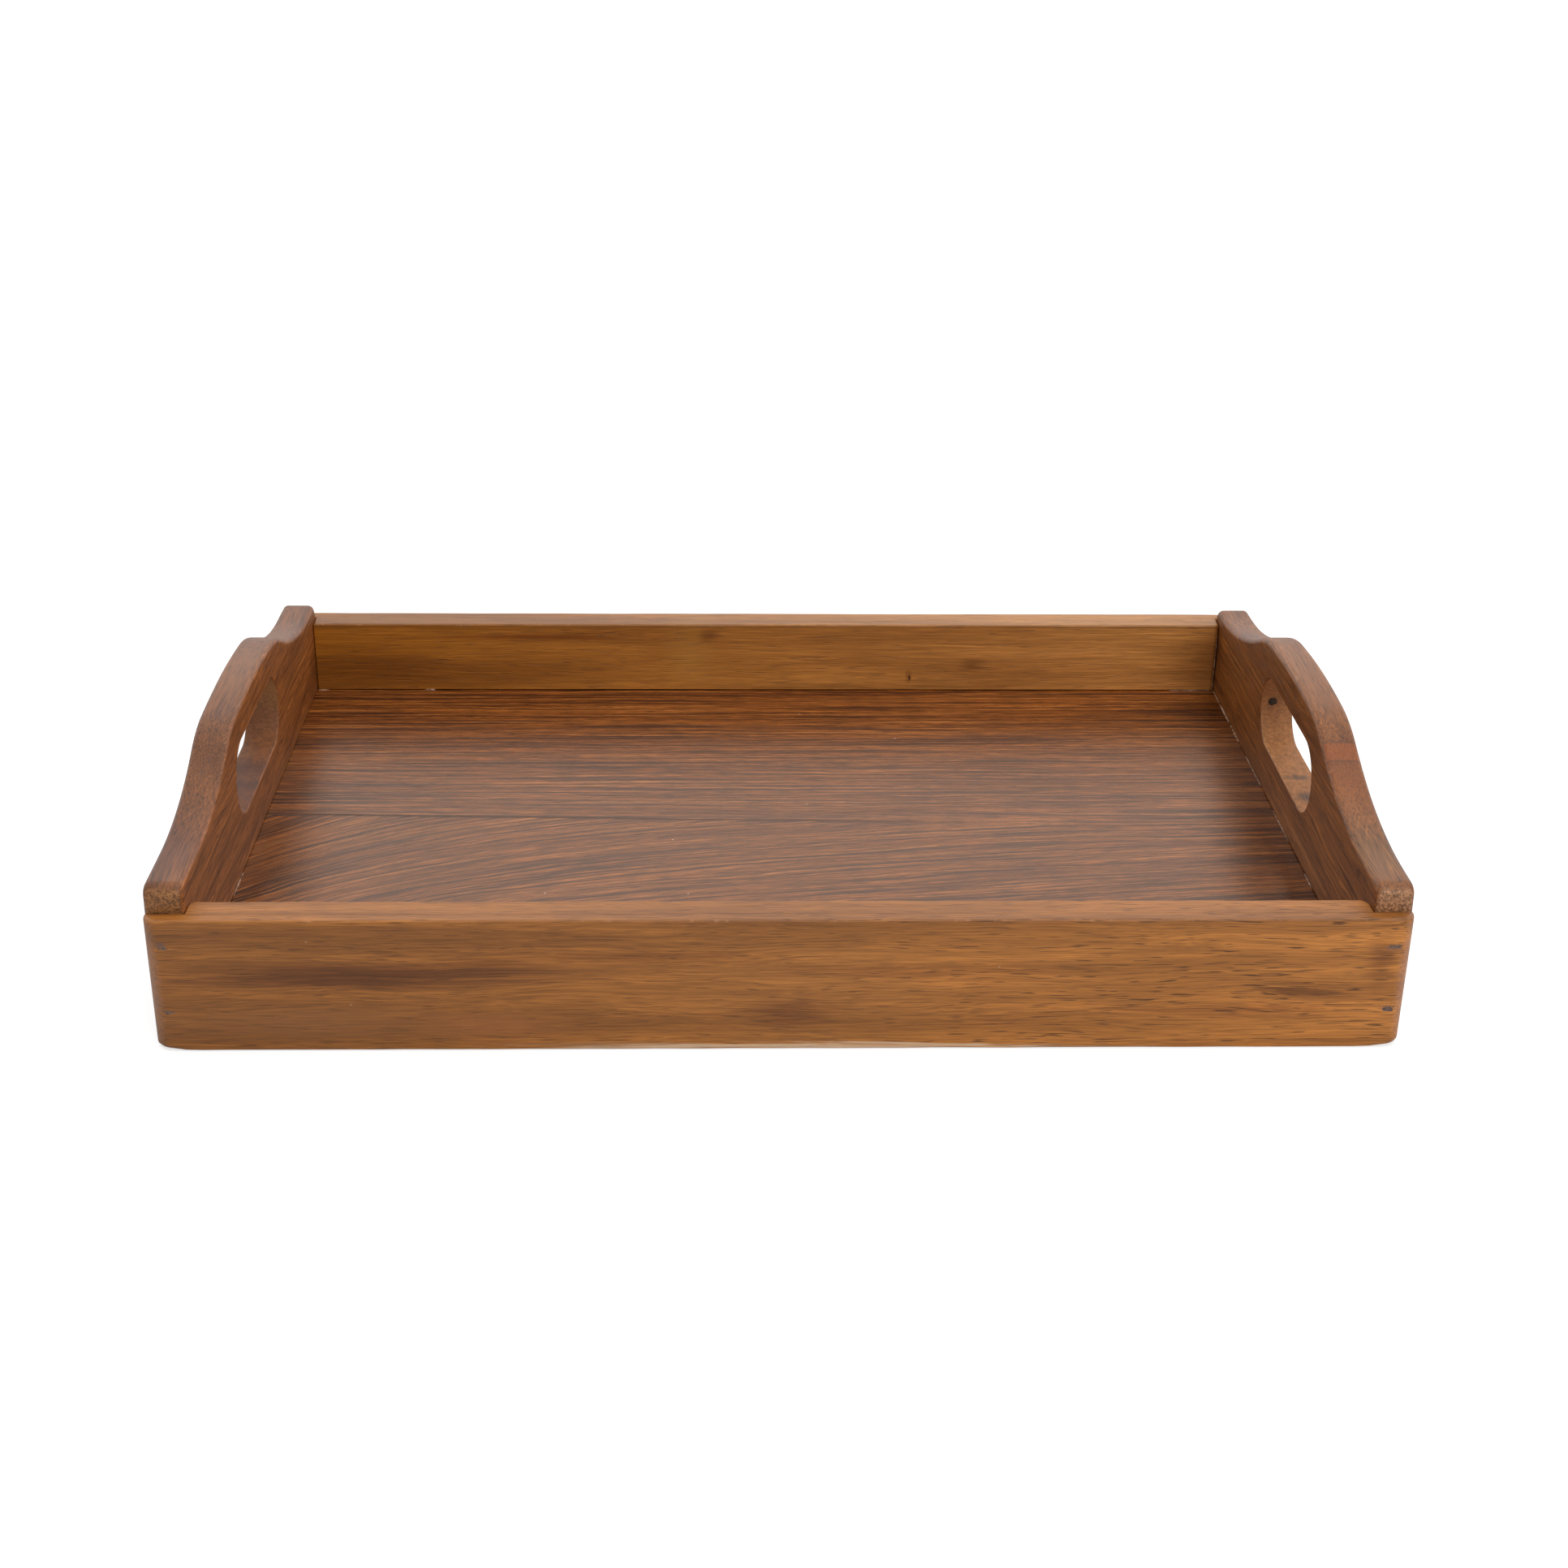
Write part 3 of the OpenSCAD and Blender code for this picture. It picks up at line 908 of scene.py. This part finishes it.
RIGHT_PATCHES = (
    ((211, -119.7, 56), (5, 5, 2.2), 1.2, 0.9, 0.8, "6c5244", "MULTIPLY"),
    ((211, -112, 46), (5, 13, 3.0), 2.0, 0.9, 0.7, "806450", "MULTIPLY"),
    ((211, 60, 30), (5, 90, 3), 1.8, 0.95, 0.4, "a08870", "MULTIPLY"),
    ((211, -40, 27), (5, 70, 2.2), 1.8, 0.95, 0.4, "b87848", "MIX"),
    ((211, 139, 60), (3, 1.0, 8), 0.6, 0.9, 0.5, "a07c68", "MIX"),
    ((211, 134, 54), (3, 4, 1.4), 1.0, 0.9, 0.4, "a07c68", "MIX"),
)
# Painted light in the top edges, which does not show on the sides: painted shade on the front slope,
# a painted highlight on the hump, and in the right one an orange block with dark lines
LEFT_TOP_PAINTED_LIGHT = (
    ((-218, -115, 62), (60, 34, 60), 0.5, 0.95, 0.3, "bc7c59", "MULTIPLY"),
    ((-218, 10, 80), (60, 44, 60), 0.6, 0.95, 0.09, "d09058", "MIX"),
)
RIGHT_TOP_BLOCK_AND_PAINTED_LIGHT = (
    ((218, -118, 62), (60, 30, 60), 0.5, 0.95, 0.35, "b2e7ff", "MULTIPLY"),
    ((218, 10, 80), (60, 44, 60), 0.6, 0.95, 0.06, "d09058", "MIX"),
    ((218, -57, 76), (60, 4.8, 60), 0.12, 0.3, 0.38, "9c4c0c", "MIX"),
    ((218, -72, 70), (60, 24, 60), 0.5, 0.9, 0.35, "8c480e", "MIX"),
    ((218, -52.4, 76), (60, 0.7, 60), 0.5, 0.9, 0.55, "5c3420", "MIX"),
    ((218, -61.8, 74), (60, 0.6, 60), 0.5, 0.9, 0.6, "50301c", "MIX"),
)
# Smudges that only show on the hand hole's sawn face
LEFT_SMUDGES = (
    ((-218, 36, 62), (60, 22, 18), 0.8, 0.9, 0.85, "a8784a", "MIX"),
    ((-218, 9, 40), (60, 10, 7), 1.2, 0.9, 0.6, "3e2218", "MIX"),
    ((-218, -14, 38.5), (60, 34, 4), 1.0, 0.9, 0.45, "5c3c34", "MIX"),
    ((-218, -8, 38.5), (60, 6, 3), 1.2, 0.9, 0.5, "40302c", "MIX"),
)
RIGHT_SMUDGES = (
    ((218, -1, 38.5), (8, 4, 3), 1.4, 0.9, 0.7, "4e4038", "MIX"),
    ((218, -20, 38.5), (7, 7, 3), 1.6, 0.9, 0.8, "463a34", "MIX"),
    ((216, 44.6, 53.2), (2.2, 3.2, 1.9), 1.0, 0.15, 1.0, "060403", "MIX"),
    ((217, 43, 54), (5, 5, 5), 1.0, 0.9, 0.4, "6c4c30", "MIX"),
)


def finish_board(piece, name, seed, light, dark, inner_face_painted_light, sawn, end,
                 top_patches_and_painted_light, patches, smudges):
    """A handle board's timber, with its fibres along Y and the hole's paler sawn face."""
    material, wiring, shader, place = start_material(name, WOOD_ROUGHNESS)
    x, y, z = wiring.split(place)
    turned = wiring.join(y, x, z)
    normal = wiring.split(wiring.node("ShaderNodeNewGeometry").outputs["Normal"])
    on_side = wiring.remap(wiring.maths("ABSOLUTE", normal[0]), 0.5, 0.95)
    grain = wiring.group(TIMBER, Vector=turned, Seed=seed, Band_Width=10.0, Wander=3.5,
                         Light=light, Dark=dark,
                         Streak_Depth=wiring.remap(on_side, 0.0, 1.0, 0.2, 0.7),
                         Fibre_Depth=0.6, Pore_Depth=0.6)
    # Painted light: the inner face is scaled lighter on the left board and a little darker on the right
    lit = wiring.scale(grain["Colour"], wiring.remap(
        wiring.maths("ABSOLUTE", x), board_low.x + 1.5 * MM, board_low.x + 0.3 * MM, 1.0, inner_face_painted_light))
    # Only the top takes its painted shade and highlight, and the right board's orange block
    on_top = wiring.remap(normal[2], 0.45, 0.75)
    colour = wiring.blend(on_top, lit, lay_patches(wiring, lit, place, grain, top_patches_and_painted_light))
    colour = lay_patches(wiring, colour, place, grain, patches)
    end_marks = wiring.noise(place, per_mm(0.9, 5, 0.9), 4.0, 0.7)
    end_colour = wiring.blend(wiring.remap(end_marks, 0.38, 0.62), darker(end, 0.30), end)
    end_on = wiring.remap(wiring.maths("ABSOLUTE", normal[1]), 0.5, 0.95)
    colour = wiring.blend(wiring.maths("MULTIPLY", end_on, 0.92), colour, end_colour)
    past_end = wiring.maths("MAXIMUM", wiring.maths(
        "SUBTRACT", wiring.maths("ABSOLUTE", y), HOLE_REACH), 0.0)
    from_middle = wiring.vector("LENGTH", wiring.join(
        past_end, wiring.maths("SUBTRACT", z, HOLE_MIDDLE), 0.0))
    in_hole = wiring.remap(from_middle, HOLE_RADIUS + 0.35 * MM, HOLE_RADIUS)
    saw_marks = wiring.noise(place, per_mm(2, 2.6, 1.0), 4.0, 0.75)
    sawn_colour = wiring.blend(wiring.remap(saw_marks, 0.36, 0.62), darker(sawn, 0.62), sawn)
    sawn_colour = lay_patches(wiring, sawn_colour, place, grain, smudges)
    colour = wiring.blend(in_hole, colour, sawn_colour)
    colour = fray_edges(wiring, colour, place, 0.35, 0.25, "b98a66")
    wiring.feed(shader.inputs["Base Color"], colour)
    wiring.feed(shader.inputs["Roughness"], wiring.remap(in_hole, 0.0, 1.0, WOOD_ROUGHNESS, 0.6))
    add_bump(wiring, shader, grain["Height"], PORE_RELIEF, PORE_BUMP)
    piece.data.materials.append(material)
    print("finished", piece.name)


finish_board(left_board, "left_board_timber", seed=7.7, inner_face_painted_light=1.6,
             light=(0.180, 0.058, 0.013, 1), dark=(0.126, 0.039, 0.008, 1),
             sawn=(0.200, 0.066, 0.017, 1), end=(0.340, 0.142, 0.044, 1),
             top_patches_and_painted_light=LEFT_TOP_PAINTED_LIGHT, patches=LEFT_PATCHES, smudges=LEFT_SMUDGES)
finish_board(right_board, "right_board_timber", seed=9.2, inner_face_painted_light=0.95,
             light=(0.210, 0.069, 0.013, 1), dark=(0.145, 0.044, 0.009, 1),
             sawn=(0.440, 0.180, 0.058, 1), end=(0.500, 0.236, 0.108, 1),
             top_patches_and_painted_light=RIGHT_TOP_BLOCK_AND_PAINTED_LIGHT, patches=RIGHT_PATCHES, smudges=RIGHT_SMUDGES)

# %% [markdown]
# ## The floor
# The floor is a thin panel faced with a lacquered wood sheet. Its lines are much finer and straighter
# than the timber's. They are drawn as the level lines of a landscape. Behind a seam that runs from
# side to side the ground is an even slope, which gives straight lines. In front of the seam, to the
# left of a tip near its right end, the lines slope away from it towards the front left, more steeply
# the further left they are. To the right of the tip they keep a gentle slope, which fades in from
# behind the seam without a break.

# %% Finish the floor's face
SEAM_MIDDLE = -3.4 * MM
SEAM_SLOPE = -0.029
TIP = 120 * MM
FAN_SLOPE = 0.10
FAN_RISE = 49.5 * MM
FAN_START = -200 * MM
FAN_FADE = 75 * MM
material, wiring, shader, place = start_material("floor_sheet", 0.30)
shader.inputs["Specular IOR Level"].default_value = 0.85
shader.inputs["Specular Tint"].default_value = (1.0, 0.58, 0.35, 1)
x, y, z = wiring.split(place)
seam = wiring.maths("SUBTRACT", y, wiring.maths("MULTIPLY_ADD", x, SEAM_SLOPE, SEAM_MIDDLE))
steep = wiring.maths("EXPONENT", wiring.maths("DIVIDE", wiring.maths("SUBTRACT", FAN_START, x), FAN_FADE))
fan = wiring.maths("SUBTRACT", wiring.maths("MULTIPLY", wiring.maths("SUBTRACT", x, TIP), FAN_SLOPE),
                   wiring.maths("MULTIPLY", steep, FAN_RISE))
in_front = wiring.remap(seam, 0.6 * MM, -0.6 * MM)
before_tip = wiring.maths("MULTIPLY", wiring.maths("MINIMUM", fan, 0.0), in_front)
past_tip = wiring.maths("MULTIPLY", wiring.maths("MAXIMUM", fan, 0.0),
                        wiring.remap(seam, 20 * MM, -40 * MM))
sway = wiring.noise(place, per_mm(110, 16, 100), 3.0)
level = wiring.maths("SUBTRACT", wiring.about(sway, 6 * MM, y),
                     wiring.maths("ADD", before_tip, past_tip))
lines = wiring.join(x, level, 0.0)
broad = wiring.noise(lines, per_mm(300, 9, 100), 3.0, 0.6)
fine = wiring.noise(lines, per_mm(80, 1.8, 100), 4.0, 0.75)
hair = wiring.noise(lines, per_mm(12, 0.8, 100), 3.0, 0.75)
ink = wiring.noise(lines, per_mm(130, 1.7, 100), 1.0)
colour = wiring.blend(wiring.remap(fine, 0.39, 0.61), (0.036, 0.010, 0.002, 1), (0.222, 0.062, 0.008, 1))
colour = wiring.blend(wiring.remap(broad, 0.38, 0.62), wiring.blend(
    0.35, colour, (0.046, 0.012, 0.004, 1)), wiring.blend(0.3, colour, (0.230, 0.074, 0.015, 1)))
near_seam = wiring.maths("ABSOLUTE", wiring.about(sway, 4 * MM, seam))
along_seam = wiring.maths("MULTIPLY", wiring.remap(near_seam, 2.4 * MM, 0.8 * MM),
                          wiring.remap(x, TIP, -20 * MM))
inked = wiring.maths("MAXIMUM", wiring.remap(ink, 0.575, 0.64), along_seam)
colour = wiring.blend(wiring.maths("MULTIPLY", inked, 0.85), colour, (0.018, 0.006, 0.004, 1))
colour = wiring.blend(wiring.maths("MULTIPLY", wiring.remap(ink, 0.42, 0.35), 0.5), colour,
                      (0.300, 0.105, 0.026, 1))
hair_tone = wiring.about(hair, 4.4, 1.0)
# Painted light: the floor is made lighter towards the back, and darker beside the right board as painted
# shade
back_painted_light = wiring.remap(y, 70 * MM, 125 * MM, 1.0, 1.3)
right_painted_shade = wiring.remap(x, 170 * MM, 211 * MM, 1.0, 0.72)
shaded = wiring.scale(colour, wiring.maths(
    "MULTIPLY", hair_tone, wiring.maths("MULTIPLY", back_painted_light, right_painted_shade)))
specks = wiring.group(DUST, Vector=place, Share=wiring.remap(y, 30 * MM, -70 * MM, 0.01, 0.06))["Mask"]
wiring.feed(shader.inputs["Base Color"], wiring.blend(
    wiring.maths("MULTIPLY", specks, 0.6), shaded, linear("d8c8bc")))
wiring.feed(shader.inputs["Roughness"], wiring.remap(fine, 0.3, 0.7, 0.32, 0.26))
add_bump(wiring, shader, wiring.maths("ADD", hair, fine), 0.08 * MM, 0.8)
floor_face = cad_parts["floor_face"]
floor_face.material_slots[0].material = material
print("finished", floor_face.name)

# %% [markdown]
# ## Filler and glue
# The filler dried to a dull grey brown, darker than the wood. The glue dried clear and picked up the
# stain, so it only looks a little paler and shinier than what is under it.

# %% Finish the filler and the glue
material, wiring, shader, place = start_material("dried_filler", 0.55)
clots = wiring.noise(place, per_mm(0.9, 0.9, 0.6), 3.0, 0.6)
wiring.feed(shader.inputs["Base Color"], wiring.blend(wiring.remap(clots, 0.35, 0.65), linear("4a4042"),
                                                      linear("7a5a44")))
add_bump(wiring, shader, clots, 0.08 * MM, 0.7)
for piece in plugs:
    piece.data.materials.append(material)

material, wiring, shader, place = start_material("dried_glue", 0.30)
cloudy = wiring.noise(place, per_mm(3, 3, 3), 3.0, 0.6)
wiring.feed(shader.inputs["Base Color"], wiring.blend(wiring.remap(cloudy, 0.4, 0.62), linear("6e4830"),
                                                      linear("b09078")))
wiring.feed(shader.inputs["Roughness"], wiring.remap(cloudy, 0.3, 0.7, 0.25, 0.5))
add_bump(wiring, shader, cloudy, 0.1 * MM, 0.5)
for piece in beads:
    piece.data.materials.append(material)
print("finished the filler and the glue")

# %% [markdown]
# ## The hidden layers and the nails
# The backing sheet shows only from below, and the core and the nails not at all, but each still gets
# a finish of its own.

# %% Finish the core, the backing and the nails


def finish_layer(node, name, seed, light, dark, roughness):
    """A layer of the floor panel in timber of its own colours."""
    material, wiring, shader, place = start_material(name, roughness)
    grain = wiring.group(TIMBER, Vector=place, Seed=seed, Band_Width=14.0, Wander=4.0,
                         Light=linear(light), Dark=linear(dark),
                         Streak_Depth=0.12, Fibre_Depth=0.12, Pore_Depth=0.4)
    wiring.feed(shader.inputs["Base Color"], grain["Colour"])
    add_bump(wiring, shader, grain["Height"], 0.1 * MM, 0.5)
    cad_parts[node].material_slots[0].material = material
    print("finished", node)


finish_layer("floor_core", "core_veneers", 11.5, "c49a6c", "a47a50", 0.7)
finish_layer("floor_backing", "backing_sheet", 13.8, "9a6c4a", "7a5236", 0.6)

material, wiring, shader, place = start_material("nail_wire", 0.35)
drawn = wiring.noise(place, per_mm(0.3, 8, 0.3), 2.0)
shader.inputs["Metallic"].default_value = 1.0
wiring.feed(shader.inputs["Base Color"], wiring.blend(drawn, linear("8e9094"), linear("c8cacd")))
wiring.feed(shader.inputs["Roughness"], wiring.remap(drawn, 0.2, 0.8, 0.3, 0.5))
for node, nail_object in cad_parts.items():
    if node.endswith("_nails"):
        nail_object.material_slots[0].material = material
print("finished the nails")

# %% [markdown]
# ## Floor, light and surroundings
# The tray stands on a white sweep in a white studio tent, which lights it softly from all round, more
# from the back and above than from the front. The sweep and the tent give off more light to the eye
# than to the tray, so that they stay white, and the sweep still takes a trace of shadow. Two
# softboxes, one overhead and one in front, put a soft shine on the wood.

# %% Build the studio
FLOOR_REACH = 30.0
FLOOR_GAP = 0.2 * MM
mesh_tool = bmesh.new()
bmesh.ops.create_grid(mesh_tool, x_segments=8, y_segments=8, size=FLOOR_REACH)
mesh = bpy.data.meshes.new("studio_floor")
mesh_tool.to_mesh(mesh)
mesh_tool.free()
studio_floor = bpy.data.objects.new("studio_floor", mesh)
scene.collection.objects.link(studio_floor)
studio_floor.location.z = -FLOOR_GAP
material, wiring, shader = start_material("studio_white", 0.9)[:3]
shader.inputs["Base Color"].default_value = (0.55, 0.55, 0.55, 1)
shader.inputs["Specular IOR Level"].default_value = 0.0
shader.inputs["Emission Color"].default_value = (1, 1, 1, 1)
seen = wiring.node("ShaderNodeLightPath").outputs["Is Camera Ray"]
wiring.feed(shader.inputs["Emission Strength"], wiring.maths("MULTIPLY_ADD", seen, 0.55, 0.05))
studio_floor.data.materials.append(material)

world = bpy.data.worlds.new("studio_tent")
scene.world = world
world.use_nodes = True
wiring = Wiring(world.node_tree)
background = world.node_tree.nodes["Background"]
way = wiring.split(wiring.node("ShaderNodeTexCoord").outputs["Generated"])
lean = wiring.maths("ADD", wiring.maths("MULTIPLY", way[1], 0.85), wiring.maths("MULTIPLY", way[2], 0.4))
tent = wiring.remap(lean, -0.7, 0.8, 0.42, 1.25)
seen = wiring.node("ShaderNodeLightPath").outputs["Is Camera Ray"]
wiring.feed(background.inputs["Strength"], wiring.maths("ADD", tent, seen))
background.inputs["Color"].default_value = (1, 1, 1, 1)


def hang_softbox(name, place, width, height, power):
    """A rectangular lamp that faces the middle of the tray."""
    lamp = bpy.data.objects.new(name, bpy.data.lights.new(name, "AREA"))
    scene.collection.objects.link(lamp)
    lamp.data.shape = "RECTANGLE"
    lamp.data.size = width
    lamp.data.size_y = height
    lamp.data.energy = power
    lamp.location = place
    lamp.rotation_euler = (-lamp.location).to_track_quat("-Z", "Y").to_euler()


hang_softbox("overhead_softbox", (0.3, -0.3, 1.6), 1.2, 0.9, 6.0)
hang_softbox("front_softbox", (0.5, -1.9, 1.3), 1.2, 1.0, 14.0)
print("studio ready")

# %% [markdown]
# ## The end
# The looks have to stay close to the imported model's size.

# %% Finish
print("sizes written")
